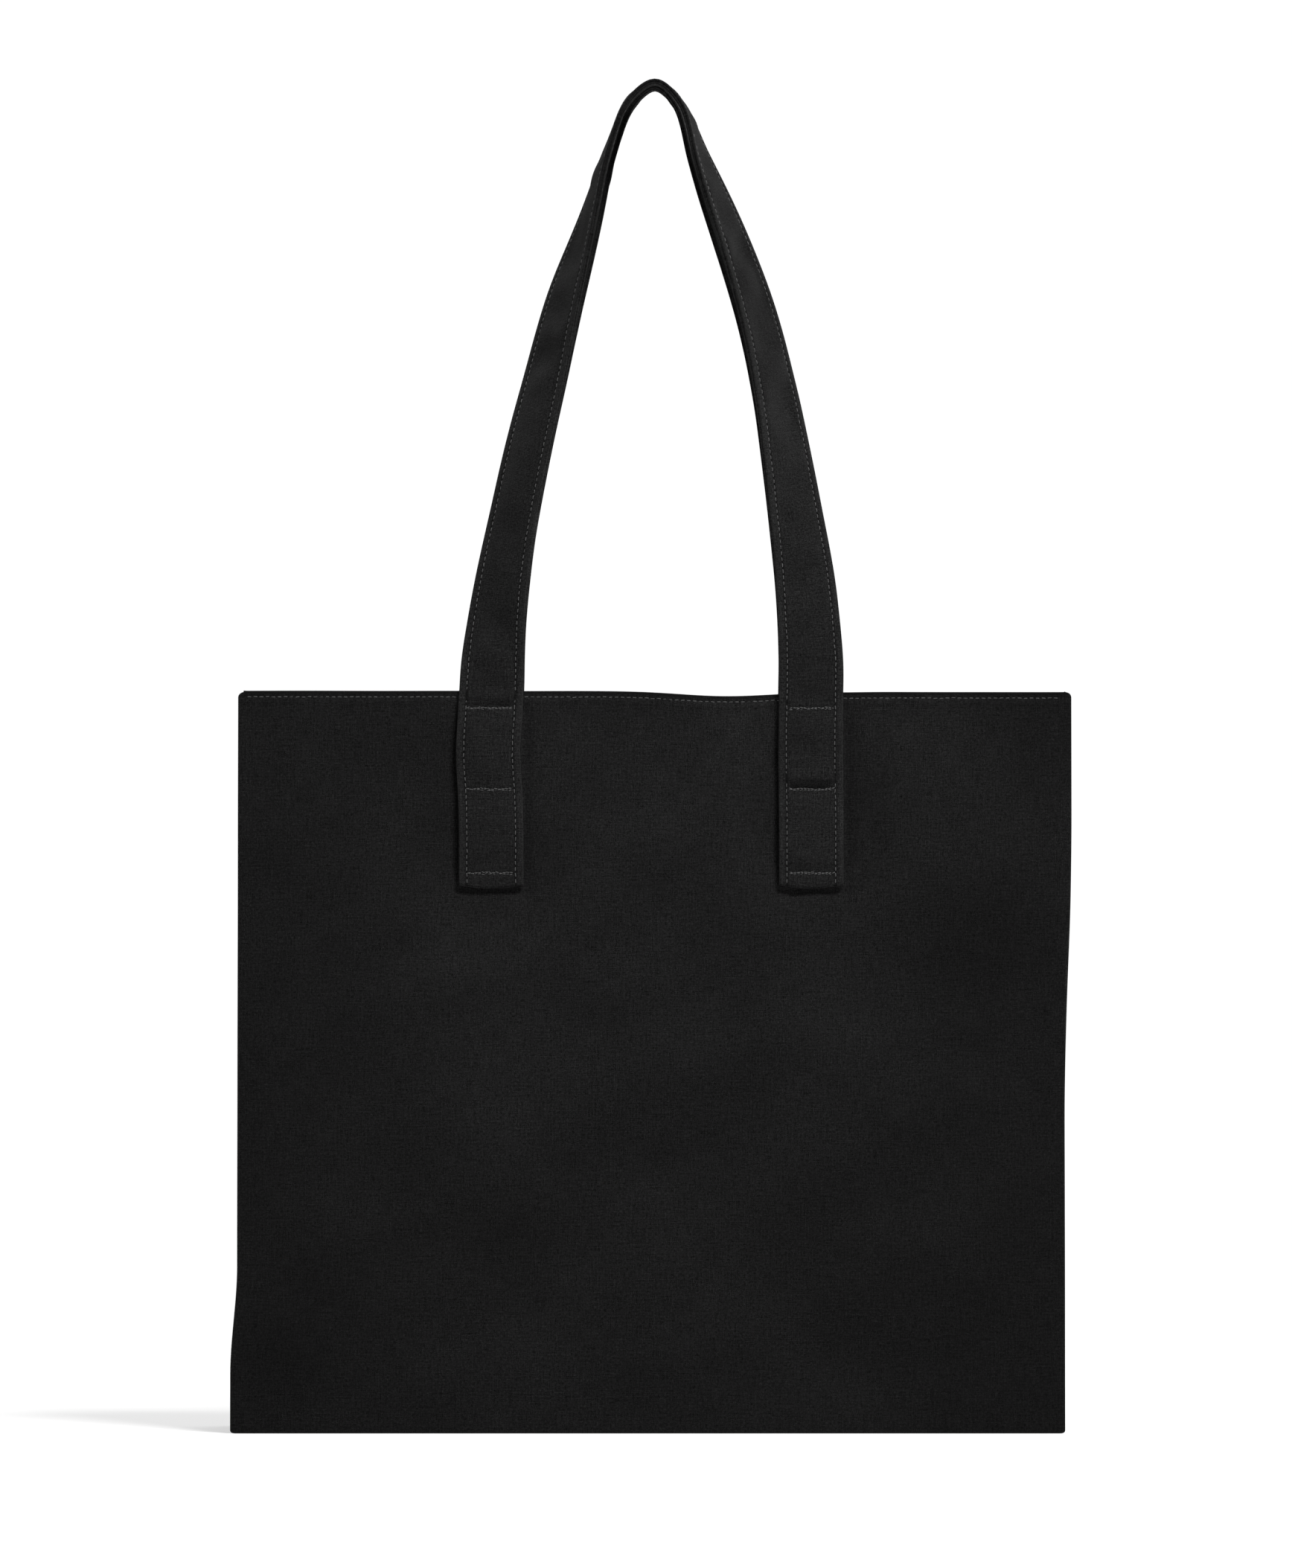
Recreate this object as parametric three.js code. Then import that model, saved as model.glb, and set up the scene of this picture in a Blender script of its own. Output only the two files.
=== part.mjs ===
// A canvas tote bag that stands on its base: two tall walls, two side gussets
// that fold inwards, a flat base, and two long handles of folded canvas whose
// ends are sewn to the outside of the walls. +Z is up, the front faces -Y, and
// the origin is the middle of the base's underside. Lengths are millimetres.
import * as THREE from "three";

// Driving dimensions.
const BAG_WIDTH = 400;
const BAG_HEIGHT = 356;
const BASE_DEPTH = 100;
const MOUTH_DEPTH = 44;
const CLOTH = 1;
const GUSSET_FOLDS = { foot: 4, middle: 12, top: 30 };
const GUSSET_MIDDLE_Z = 180;
const GUSSET_INSET = 2;
const GAP = 0.3;

const STRAP_WIDTH = 31;
const STRAP_THICKNESS = 2.6;
const TAIL_LENGTH = 95;
const TAIL_SPACING = 154;
const TAIL_STANDOFF = 1;
const BEND_BELOW_EDGE = 5;
const EDGE_TO_STITCH = 3.8;

const THREAD_WIDTH = 0.7;
const THREAD_PROUD = 0.4;
const CURVED_GAP = 0.6;
const TACK_LENGTH = 22;
const TACK_HEIGHT = 1.2;
const TACKS_BELOW_EDGE = { top: 7.5, middle: 47, bottom: 87.5 };
const HEM_STITCH_BELOW_EDGE = 3;
const SEAM_THREAD = 0.8;
const SIDE_SEAM_INSET = 7.5;

// The centre line of the front handle's arch, seen from the front, in X and Z.
const ARCH = [
  [-77, 352],
  [-76, 374],
  [-71, 414],
  [-59.5, 472],
  [-43.5, 540],
  [-31.5, 582],
  [-21, 617],
  [-10, 641.5],
  [2, 649.7],
  [13.5, 640],
  [24, 614],
  [36.5, 578],
  [49.5, 538],
  [64, 474],
  [74, 410],
  [77, 374],
  [77, 352],
];
const ARCH_STEPS = 64;
const ARCH_APEX_Y = 17;
const TWIST_START_Z = 357;
const TWIST_END_Z = 640;
const TWIST_EASE = 0.72;
const BACK_ARCH_INSET = 3.1;
const INSET_START_Z = 470;
const INSET_END_Z = 600;

// Sizes that follow from them.
const LEAN = Math.asin((BASE_DEPTH - MOUTH_DEPTH) / 2 / BAG_HEIGHT);
const WALL_LENGTH = (BAG_HEIGHT - GAP) / Math.cos(LEAN);
const BEND_HEIGHT = WALL_LENGTH - BEND_BELOW_EDGE;
const STRAP_CENTRE_OUT = TAIL_STANDOFF + STRAP_THICKNESS / 2;
const STRAP_FACE_OUT = TAIL_STANDOFF + STRAP_THICKNESS;

// Materials: the cloth of the body, the denser folded cloth of the handles, and thread.
const canvas = () => new THREE.MeshStandardMaterial({ color: 0x1b1b1c, roughness: 0.95, metalness: 0 });
const strap = () => new THREE.MeshStandardMaterial({ color: 0x1e1e1f, roughness: 0.92, metalness: 0 });
const thread = () => new THREE.MeshStandardMaterial({ color: 0x2e2e30, roughness: 0.7, metalness: 0 });

function named(name, geometry, material) {
  const mesh = new THREE.Mesh(geometry, material);
  mesh.name = name;
  return mesh;
}

function bar(name, size, centre, material) {
  const mesh = named(name, new THREE.BoxGeometry(...size), material);
  mesh.position.set(...centre);
  return mesh;
}

// A closed solid between an outer and an inner run of points, one pair of runs
// for each section; the sections follow each other along the piece.
function layeredSolid(sections) {
  const rings = sections.map(({ outer, inner }) => [...outer, ...[...inner].reverse()]);
  const size = rings[0].length;
  const half = size / 2;
  const last = (rings.length - 1) * size;
  const placeInRun = (corner) => Math.min(corner, size - 1 - corner);
  const indices = [];
  for (let start = 0; start < last; start += size) {
    for (let corner = 0; corner < size; corner++) {
      const a = start + corner;
      const b = start + ((corner + 1) % size);
      if (placeInRun(corner) % 2 === 0) indices.push(a, b, b + size, a, b + size, a + size);
      else indices.push(a, b, a + size, b, b + size, a + size);
    }
  }
  for (let i = 0; i + 1 < half; i++) {
    const [a, b, c, d] = [i, i + 1, size - 2 - i, size - 1 - i];
    indices.push(a, c, b, a, d, c);
    indices.push(last + a, last + b, last + c, last + a, last + c, last + d);
  }
  const geometry = new THREE.BufferGeometry();
  const positions = rings.flat().flatMap((point) => point.toArray());
  geometry.setAttribute("position", new THREE.Float32BufferAttribute(positions, 3));
  geometry.setIndex(indices);
  geometry.computeVertexNormals();
  return geometry;
}

// One wall, built upright with its outer face on the plane Y = 0 and its foot
// at Z = 0. The sides name the bag's sides that its -X and +X edges are on.
function wall(name, sides) {
  const group = new THREE.Group();
  const panel = [BAG_WIDTH, CLOTH, WALL_LENGTH];
  group.add(bar(`${name}_panel`, panel, [0, CLOTH / 2, WALL_LENGTH / 2], canvas()));

  const hem = [BAG_WIDTH - 6, THREAD_PROUD, THREAD_WIDTH];
  const hemAt = [0, -GAP - THREAD_PROUD / 2, WALL_LENGTH - HEM_STITCH_BELOW_EDGE];
  group.add(bar(`${name}_hem_stitching`, hem, hemAt, thread()));

  for (const [side, direction] of [[sides[0], -1], [sides[1], 1]]) {
    group.add(sideSeamStitching(`${name}_${side}_seam_stitching`, direction));
    addTail(group, name, side, direction);
  }
  return group;
}

// The sewn end of a handle on the wall, with the two rows along its edges and
// the three tacks across it.
function addTail(group, name, side, direction) {
  const x = (direction * TAIL_SPACING) / 2;
  const foot = WALL_LENGTH - TAIL_LENGTH;
  const length = BEND_HEIGHT - 0.5 - foot;
  const tail = [STRAP_WIDTH, STRAP_THICKNESS, length];
  const middle = foot + length / 2;
  group.add(bar(`${name}_handle_${side}_tail`, tail, [x, -STRAP_CENTRE_OUT, middle], strap()));

  const y = -STRAP_FACE_OUT - GAP - THREAD_PROUD / 2;
  const row = [THREAD_WIDTH, THREAD_PROUD, length - 3];
  const rowOut = STRAP_WIDTH / 2 - EDGE_TO_STITCH;
  for (const [edge, out] of [["inner", -1], ["outer", 1]]) {
    const rowX = x + out * direction * rowOut;
    group.add(bar(`${name}_${side}_tail_${edge}_stitching`, row, [rowX, y, middle], thread()));
  }
  for (const [place, below] of Object.entries(TACKS_BELOW_EDGE)) {
    const tack = [TACK_LENGTH, THREAD_PROUD, TACK_HEIGHT];
    const at = [x, y, WALL_LENGTH - below];
    group.add(bar(`${name}_${side}_tail_${place}_tack`, tack, at, thread()));
  }
}

// The seam inside the corner of a wall and a gusset, clear of the folded gusset.
function sideSeamStitching(name, direction) {
  const size = [SEAM_THREAD, SEAM_THREAD, WALL_LENGTH - 20];
  const x = direction * (BAG_WIDTH / 2 - GUSSET_INSET - SIDE_SEAM_INSET);
  return bar(name, size, [x, CLOTH + GAP + SEAM_THREAD / 2, WALL_LENGTH / 2 - 2], thread());
}

// Half the depth between the walls' inner faces at a height above the floor.
function innerHalfDepth(z) {
  return BASE_DEPTH / 2 - (z - GAP) * Math.tan(LEAN) - CLOTH / Math.cos(LEAN);
}

// How far the gusset's crease stands in from the bag's side at a height.
function creaseDepth(z) {
  const { foot, middle, top } = GUSSET_FOLDS;
  if (z < GUSSET_MIDDLE_Z) return THREE.MathUtils.lerp(foot, middle, z / GUSSET_MIDDLE_Z);
  const rise = (z - GUSSET_MIDDLE_Z) / (BAG_HEIGHT - GUSSET_MIDDLE_Z);
  return THREE.MathUtils.lerp(middle, top, rise);
}

// The three corners of the gusset's outline at one height, moved inwards.
function gussetRun(z, direction, inwards) {
  const halfDepth = innerHalfDepth(z) - GAP;
  const slant = Math.hypot(1, creaseDepth(z) / halfDepth);
  const x = BAG_WIDTH / 2 - GUSSET_INSET - inwards * slant;
  const point = (along, y) => new THREE.Vector3(direction * along, y * direction, z);
  return [point(x, -halfDepth), point(x - creaseDepth(z), 0), point(x, halfDepth)];
}

function gusset(name, direction) {
  const sections = [CLOTH + GAP, GUSSET_MIDDLE_Z, BAG_HEIGHT].map((z) => ({
    outer: gussetRun(z, direction, 0),
    inner: gussetRun(z, direction, CLOTH),
  }));
  return named(name, layeredSolid(sections), canvas());
}

function gussetHemStitching(name, direction) {
  const z = BAG_HEIGHT - HEM_STITCH_BELOW_EDGE;
  const sections = [z - THREAD_WIDTH / 2, z + THREAD_WIDTH / 2].map((height) => ({
    outer: gussetRun(height, direction, -CURVED_GAP - THREAD_PROUD),
    inner: gussetRun(height, direction, -CURVED_GAP),
  }));
  return named(name, layeredSolid(sections), thread());
}

// The flat base, and the four seams that join it to the walls and gussets.
function base() {
  const group = new THREE.Group();
  const width = BAG_WIDTH - 2 * GUSSET_INSET;
  const depth = BASE_DEPTH - 2 * (CLOTH + GAP) - 0.4;
  const size = [width, depth, CLOTH];
  group.add(bar("base_panel", size, [0, 0, CLOTH / 2], canvas()));
  const seamZ = CLOTH + GAP + SEAM_THREAD / 2;
  const frontY = depth / 2 - 1;
  const sideX = width / 2 - GUSSET_FOLDS.foot - CLOTH - 1.5;
  for (const [name, direction] of [["front", -1], ["back", 1]]) {
    const seam = [2 * sideX - 6, SEAM_THREAD, SEAM_THREAD];
    group.add(bar(`base_${name}_seam_stitching`, seam, [0, direction * frontY, seamZ], thread()));
  }
  for (const [name, direction] of [["left", -1], ["right", 1]]) {
    const seam = [SEAM_THREAD, 2 * frontY - 6, SEAM_THREAD];
    group.add(bar(`base_${name}_seam_stitching`, seam, [direction * sideX, 0, seamZ], thread()));
  }
  return group;
}

// How far the strap has turned from facing forwards to facing up, in radians.
function twist(z) {
  const rise = THREE.MathUtils.clamp((z - TWIST_START_Z) / (TWIST_END_Z - TWIST_START_Z), 0, 1);
  return (Math.PI / 2) * rise ** TWIST_EASE;
}

// Points along a handle's arch: place, the direction across the strap from its
// outer to its inner edge, and the direction its forward or upper face looks.
function archFrames(depthSign, inset) {
  const route = new THREE.CatmullRomCurve3(ARCH.map(([x, z]) => new THREE.Vector3(x, 0, z)));
  const footZ = ARCH[0][1];
  const apexZ = Math.max(...ARCH.map(([, z]) => z));
  const footY = BASE_DEPTH / 2 - Math.sin(LEAN) * BEND_HEIGHT + STRAP_CENTRE_OUT;
  const towardsViewer = new THREE.Vector3(0, -1, 0);
  const frames = [];
  for (let i = 0; i <= ARCH_STEPS; i++) {
    const centre = route.getPointAt(i / ARCH_STEPS);
    const along = route.getTangentAt(i / ARCH_STEPS);
    const outwards = new THREE.Vector3(-along.z, 0, along.x);
    const turn = twist(centre.z);
    const face = towardsViewer.clone().multiplyScalar(Math.cos(turn));
    face.addScaledVector(outwards, Math.sin(turn));
    const across = outwards.clone().multiplyScalar(-Math.cos(turn));
    across.addScaledVector(towardsViewer, Math.sin(turn));
    const rise = THREE.MathUtils.clamp((centre.z - footZ) / (apexZ - footZ), 0, 1);
    const insetHere = inset * THREE.MathUtils.smoothstep(centre.z, INSET_START_Z, INSET_END_Z);
    centre.addScaledVector(outwards, -insetHere);
    centre.y = depthSign * THREE.MathUtils.lerp(footY, ARCH_APEX_Y, rise);
    frames.push({ centre, across, face });
  }
  return frames;
}

// A flat strip that follows the arch: from `from` to `to` across the strap,
// and from `low` to `high` along the face direction.
function archStrip(frames, from, to, low, high) {
  const sections = frames.map(({ centre, across, face }) => {
    const corner = (side, height) =>
      centre.clone().addScaledVector(across, side).addScaledVector(face, height);
    return { outer: [corner(from, high), corner(to, high)], inner: [corner(from, low), corner(to, low)] };
  });
  return layeredSolid(sections);
}

// The free loop of a handle with the two stitched rows on its outward face.
function handleLoop(name, depthSign, inset) {
  const group = new THREE.Group();
  const frames = archFrames(depthSign, inset);
  const half = STRAP_WIDTH / 2;
  const face = STRAP_THICKNESS / 2;
  group.add(named(`${name}_handle_loop`, archStrip(frames, -half, half, -face, face), strap()));

  const near = face + CURVED_GAP;
  const far = near + THREAD_PROUD;
  const [low, high] = depthSign < 0 ? [near, far] : [-far, -near];
  const rowFrames = frames.slice(1, -1);
  for (const [edge, side] of [["outer", -1], ["inner", 1]]) {
    const row = side * (half - EDGE_TO_STITCH);
    const strip = archStrip(rowFrames, row - THREAD_WIDTH / 2, row + THREAD_WIDTH / 2, low, high);
    group.add(named(`${name}_loop_${edge}_stitching`, strip, thread()));
  }
  return group;
}

const bag = new THREE.Group();
bag.add(base());

const frontWall = wall("front", ["left", "right"]);
frontWall.position.set(0, -BASE_DEPTH / 2, GAP);
frontWall.rotation.x = -LEAN;
bag.add(frontWall);

const backWall = wall("back", ["right", "left"]);
backWall.position.set(0, -BASE_DEPTH / 2, GAP);
backWall.rotation.x = -LEAN;
const turned = new THREE.Group();
turned.rotation.z = Math.PI;
turned.add(backWall);
bag.add(turned);

for (const [side, direction] of [["left", -1], ["right", 1]]) {
  bag.add(gusset(`${side}_gusset`, direction));
  bag.add(gussetHemStitching(`${side}_gusset_hem_stitching`, direction));
}

bag.add(handleLoop("front", -1, 0));
bag.add(handleLoop("back", 1, BACK_ARCH_INSET));

export default bag;
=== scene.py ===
"""A black canvas tote bag: five sewn cloth panels, two folded canvas handles and every row of stitches.
All lengths are metres. UV maps hold real cloth measures in metres, so that the weave has its true size."""
import math

import bpy
import numpy as np
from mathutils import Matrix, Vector, noise


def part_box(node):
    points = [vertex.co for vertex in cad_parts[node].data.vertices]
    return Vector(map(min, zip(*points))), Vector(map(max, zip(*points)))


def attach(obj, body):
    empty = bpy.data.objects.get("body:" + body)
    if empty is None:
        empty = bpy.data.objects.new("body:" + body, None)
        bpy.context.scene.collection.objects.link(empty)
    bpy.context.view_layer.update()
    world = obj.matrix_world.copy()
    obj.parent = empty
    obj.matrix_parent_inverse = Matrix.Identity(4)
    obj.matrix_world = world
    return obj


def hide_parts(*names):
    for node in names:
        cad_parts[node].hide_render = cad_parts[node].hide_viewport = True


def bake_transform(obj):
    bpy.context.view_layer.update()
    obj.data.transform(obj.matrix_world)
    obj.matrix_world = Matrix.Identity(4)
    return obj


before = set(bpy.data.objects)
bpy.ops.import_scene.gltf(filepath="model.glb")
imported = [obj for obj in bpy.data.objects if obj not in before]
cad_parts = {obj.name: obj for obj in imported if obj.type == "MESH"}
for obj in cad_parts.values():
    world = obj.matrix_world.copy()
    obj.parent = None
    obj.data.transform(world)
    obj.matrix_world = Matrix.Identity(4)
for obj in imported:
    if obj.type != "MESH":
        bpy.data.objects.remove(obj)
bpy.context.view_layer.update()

MM = 0.001
TINY = 1e-12
SIDES = {"left": -1, "right": 1}
WALLS = {"front": -1, "back": 1}

# The bag's measures, from the frame.
PANEL_LOW, PANEL_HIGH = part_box("front_panel")
BASE_LOW, BASE_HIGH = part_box("base_panel")
TAIL_LOW, TAIL_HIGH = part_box("front_handle_left_tail")
LOOP_LOW, LOOP_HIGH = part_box("front_handle_loop")
HALF_WIDTH = PANEL_HIGH.x
HALF_DEPTH = -PANEL_LOW.y
PANEL_SOLID = 1 * MM
PANEL_DEPTH = PANEL_HIGH.y - PANEL_LOW.y
FOOT_Z = 0.1 * MM
LEAN = math.asin((PANEL_DEPTH - PANEL_SOLID) / math.hypot(PANEL_DEPTH, PANEL_HIGH.z))
WALL_LENGTH = (PANEL_HIGH.z - FOOT_Z) / math.cos(LEAN)
STRAP_WIDTH = TAIL_HIGH.x - TAIL_LOW.x
TAIL_X = -(TAIL_HIGH.x + TAIL_LOW.x) / 2
BEND_Z = TAIL_HIGH.z
BEND_UP = (BEND_Z - FOOT_Z) / math.cos(LEAN)
APEX_Y = -(LOOP_HIGH.y + LOOP_LOW.y) / 2

# Cloth and sewing.
CLOTH = 0.9 * MM
HEM_THICKNESS = 2.2 * MM
HEM_DEPTH = 6.5 * MM
HEM_STITCH_BELOW = 3 * MM
EDGE_RADIUS = 1.6 * MM
SEAM_RADIUS = 1.2 * MM
SEAM_TURN = math.radians(172)
FOOT_TURN = math.radians(100)
ALLOWANCE = 7 * MM
STITCH_PITCH = 2.9 * MM
STITCH_LENGTH = 2.15 * MM
STITCH_LIFT = 0.10 * MM
STITCH_STRAY = 0.07 * MM
THREAD_RADIUS = 0.21 * MM
STRAP_THICKNESS = 2.7 * MM
EDGE_TO_STITCH = 3.8 * MM
ROW_OFFSET = STRAP_WIDTH / 2 - EDGE_TO_STITCH
TAIL_LENGTH = 95 * MM
TAIL_END = WALL_LENGTH - TAIL_LENGTH
TACKS_BELOW = {"top": 7.5 * MM, "middle": 47 * MM, "bottom": 87.5 * MM}
TACK_LENGTH = 23 * MM
LEAST_STEP = 0.35 * MM

# The line of the front handle's arch seen from the front, X and Z in millimetres.
ARCH = [
    (-77, 352), (-76, 374), (-71, 414), (-59.5, 472), (-43.5, 540), (-31.5, 582),
    (-21, 617), (-10.5, 641.5), (2, 650.2), (14, 640.5), (24.3, 614), (38, 578),
    (51.5, 538), (59.5, 503), (64.5, 474), (74, 410), (77, 374), (77, 352),
]
# How far each leg's strap has turned from facing forwards to facing outwards, in degrees, by height.
TWIST = {
    -1: [(357, 0), (374, 20), (402, 34), (438, 44), (474, 47), (488, 48), (517, 54), (546, 60), (567, 69),
         (581, 76), (603, 84), (617, 88), (631, 90)],
    1: [(357, 0), (374, 11), (402, 20), (438, 35), (474, 44), (488, 48), (517, 54), (546, 57), (567, 63),
        (581, 66), (603, 72), (617, 79), (631, 86), (645, 90)],
}
# The back handle's arch lies inside the front one's.
BACK_INSET, INSET_START, INSET_END = 3.0 * MM, 470 * MM, 600 * MM
BACK_APEX_RISE = 1.45 * MM

# A seed for each patch of smooth noise.
WALL_SEEDS = {-1: 11.5, 1: 47.5}
TOP_EDGE_SEED, BASE_SEED, GUSSET_SEED = 3.3, 21.5, 71.5
WOBBLE_SEED, SWAY_SEED, STRAP_CREASE_SEED, STRAP_WIDTH_SEED, TACK_SEED = 5.5, 15.5, 27.5, 33.5, 9.5


def smoothstep(low, high, value):
    t = np.clip((value - low) / (high - low), 0, 1)
    return t * t * (3 - 2 * t)


def bell(distance, width):
    """1 at no distance, and softly down to nothing over about two widths."""
    return np.exp(-((distance / width) ** 2))


def at_least(least, share):
    """share, which runs from 0 to 1, moved to run from least to 1."""
    return least + (1 - least) * share


def rounded(distance, radius):
    """The share of its full thickness that a round edge has at a distance from its end."""
    return np.sqrt(1 - np.clip(1 - distance / radius, 0, 1) ** 2)


def unit(vectors):
    return vectors / np.maximum(np.linalg.norm(vectors, axis=-1, keepdims=True), TINY)


def square_to(vectors, direction):
    """Unit vectors that are the vectors turned until they are square to direction."""
    return unit(vectors - direction * (vectors * direction).sum(-1, keepdims=True))


def joined(*values):
    """The values side by side in the last axis of one array."""
    return np.stack(np.broadcast_arrays(*values), -1)


def run_length(points):
    """How far along their line each of the points lies."""
    return np.concatenate([[0], np.cumsum(np.linalg.norm(np.diff(points, axis=0), axis=1))])


def between(places, run, vectors):
    """The vectors that were given at each distance of run, worked out at other places."""
    return np.stack([np.interp(places, run, column) for column in vectors.T], -1)


def noise_field(points, size, seed):
    """Smooth noise from -1 to 1 over an array of (..., 2) points; size is the size of its patches."""
    flat = points.reshape(-1, 2) / size
    values = [noise.noise(Vector((x, y, seed))) for x, y in flat]
    return np.array(values).reshape(points.shape[:-1])


# ---------------------------------------------------------------- camera, floor and light

VIEW_CENTRE = Vector((-2.5 * MM, -36 * MM, 311.8 * MM))
VIEW_HEIGHT = 753.9 * MM
VIEW_DISTANCE = 8.0
SENSOR = 36
CLIP_END = 200

# Each softbox's place, size and power, and the point that they all face.
SOFTBOXES = {"key": ((1.0, -1.8, 3.0), 1.0, 155), "above": ((0.2, 0.9, 2.6), 1.2, 8)}
LIT_POINT = Vector((0, 0, 0.3))
# How bright the sky is on the camera's side and behind the bag.
SKY_FRONT, SKY_BEHIND, SKY_BEHIND_FROM = 0.4, 1.02, 0.5
FLOOR_RADIUS, FLOOR_CORNERS = 1.75, 96
FLOOR_GREY, FLOOR_GLOW, FLOOR_ROUGHNESS = 0.5, 0.48, 0.9


def make_camera():
    data = bpy.data.cameras.new("camera")
    data.sensor_width = SENSOR
    data.lens = SENSOR * VIEW_DISTANCE / VIEW_HEIGHT
    data.clip_end = CLIP_END
    camera = bpy.data.objects.new("camera", data)
    camera.location = VIEW_CENTRE - Vector((0, VIEW_DISTANCE, 0))
    camera.rotation_euler = (math.pi / 2, 0, 0)
    bpy.context.collection.objects.link(camera)
    bpy.context.scene.camera = camera


def make_softbox(name, place, size, power):
    data = bpy.data.lights.new(name, "AREA")
    data.shape = "SQUARE"
    data.size = size
    data.energy = power
    light = bpy.data.objects.new(name, data)
    light.location = place
    light.rotation_euler = (LIT_POINT - light.location).to_track_quat("-Z", "Y").to_euler()
    bpy.context.collection.objects.link(light)


def make_sky():
    world = bpy.data.worlds.new("studio")
    world.use_nodes = True
    n = Nodes(world)
    direction = n.add("ShaderNodeSeparateXYZ")
    n.link(n.add("ShaderNodeTexCoord").outputs["Generated"], direction.inputs[0])
    background = world.node_tree.nodes["Background"]
    background.inputs["Color"].default_value = (1, 1, 1, 1)
    strength = n.remap(direction.outputs["Y"], 0.0, SKY_BEHIND_FROM, SKY_FRONT, SKY_BEHIND)
    n.link(strength, background.inputs["Strength"])
    bpy.context.scene.world = world


def make_floor():
    mesh = bpy.data.meshes.new("floor")
    angles = np.linspace(0, 2 * math.pi, FLOOR_CORNERS, endpoint=False)
    corners = [(FLOOR_RADIUS * math.cos(a), FLOOR_RADIUS * math.sin(a), 0) for a in angles]
    mesh.from_pydata(corners, [], [tuple(range(FLOOR_CORNERS))])
    floor = bpy.data.objects.new("floor", mesh)
    bpy.context.collection.objects.link(floor)
    material, shader = new_material("pale_floor")
    set_inputs(shader, {
        "Base Color": (FLOOR_GREY, FLOOR_GREY, FLOOR_GREY, 1),
        "Roughness": FLOOR_ROUGHNESS,
        "Specular IOR Level": 0.0,
        "Emission Color": (1, 1, 1, 1),
        "Emission Strength": FLOOR_GLOW,
    })
    mesh.materials.append(material)


def make_studio():
    make_sky()
    for name, (place, size, power) in SOFTBOXES.items():
        make_softbox(f"softbox_{name}", place, size, power)
    make_floor()
    bpy.context.scene.view_settings.view_transform = "Standard"


# ---------------------------------------------------------------- materials

# The weave. Its shares of tone are factors on the cloth's shade, from the darkest to the lightest.
WEAVE_PITCH = 0.46 * MM
WARP_WOBBLE, WEFT_WOBBLE = 1.6, -1.2
CROSSING_DIP = 0.3
YARN_CHANGE = 0.95
# How fast a yarn's thickness changes along it, and how much that change counts.
SLUBS = ((0.3, 0.6), (0.04, 0.4))
WEFT_SEED = 7.0
# Between which values most of a noise node's output lies, and that of a yarn's summed noises.
NOISE_RANGE, YARN_RANGE = (0.3, 0.7), (0.35, 0.65)
YARN_TONES = (0.1, 1.9)
# Painted shade in the weave's dips and a painted highlight on its raised threads.
WEAVE_PAINTED_SHADING = (0.35, 1.5)
PATCH_TONES = (0.82, 1.18)
MOTTLE_TONES = (0.6, 1.4)
CANVAS_ROUGHNESS = (0.98, 0.86)
# How many patches of noise there are to a metre.
WOBBLE_SCALE, PATCH_SCALE, MOTTLE_SCALE, LINT_SCALE = 90, 16, 1100, 2200
LINT_STRETCH = 0.35
LINT_RANGE, LINT_TONE = (0.7, 0.78), 1.1
YARN_BUMP = 0.35
# The straps' canvas is lighter than the body's: partly its denser folded cloth, partly painted light.
BODY_SHADE, STRAP_SHADE = 0.0070, 0.0093

# Painted light and shade in the cloth's tone: a painted highlight on a strap's folded edges, painted shade
# along its stitching and over the top of its arch, and on a wall painted shade towards its sides and low
# down, painted light towards its top and painted shade on its rolled top edge.
FOLD_PAINTED_HIGHLIGHT = 0.3
STITCH_LINE_PAINTED_SHADE = 0.45
APEX_PAINTED_SHADE = 0.5
ROLLED_EDGE_PAINTED_SHADE = 0.35
PAINTED_SIDE_SHADE_AND_TOP_LIGHT = 0.26

# Sewing thread: the pitch of its plies along and around it, and its shades, from painted shade in the grooves
# between its plies to their crowns.
PLY_LENGTH, PLY_AROUND = 0.8 * MM, 0.75 * MM
THREAD_PAINTED_PLY_SHADES = (0.016, 0.054)
FUZZ_SCALE, FUZZ_TONES = 4000, (0.8, 1.2)
WORN_SCALE, WORN_TONES = 260, (0.6, 1.6)
THREAD_ROUGHNESS = (0.5, 0.75)


def new_material(name):
    material = bpy.data.materials.new(name)
    material.use_nodes = True
    return material, material.node_tree.nodes["Principled BSDF"]


def set_inputs(node, values):
    for name, value in values.items():
        node.inputs[name].default_value = value


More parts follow.
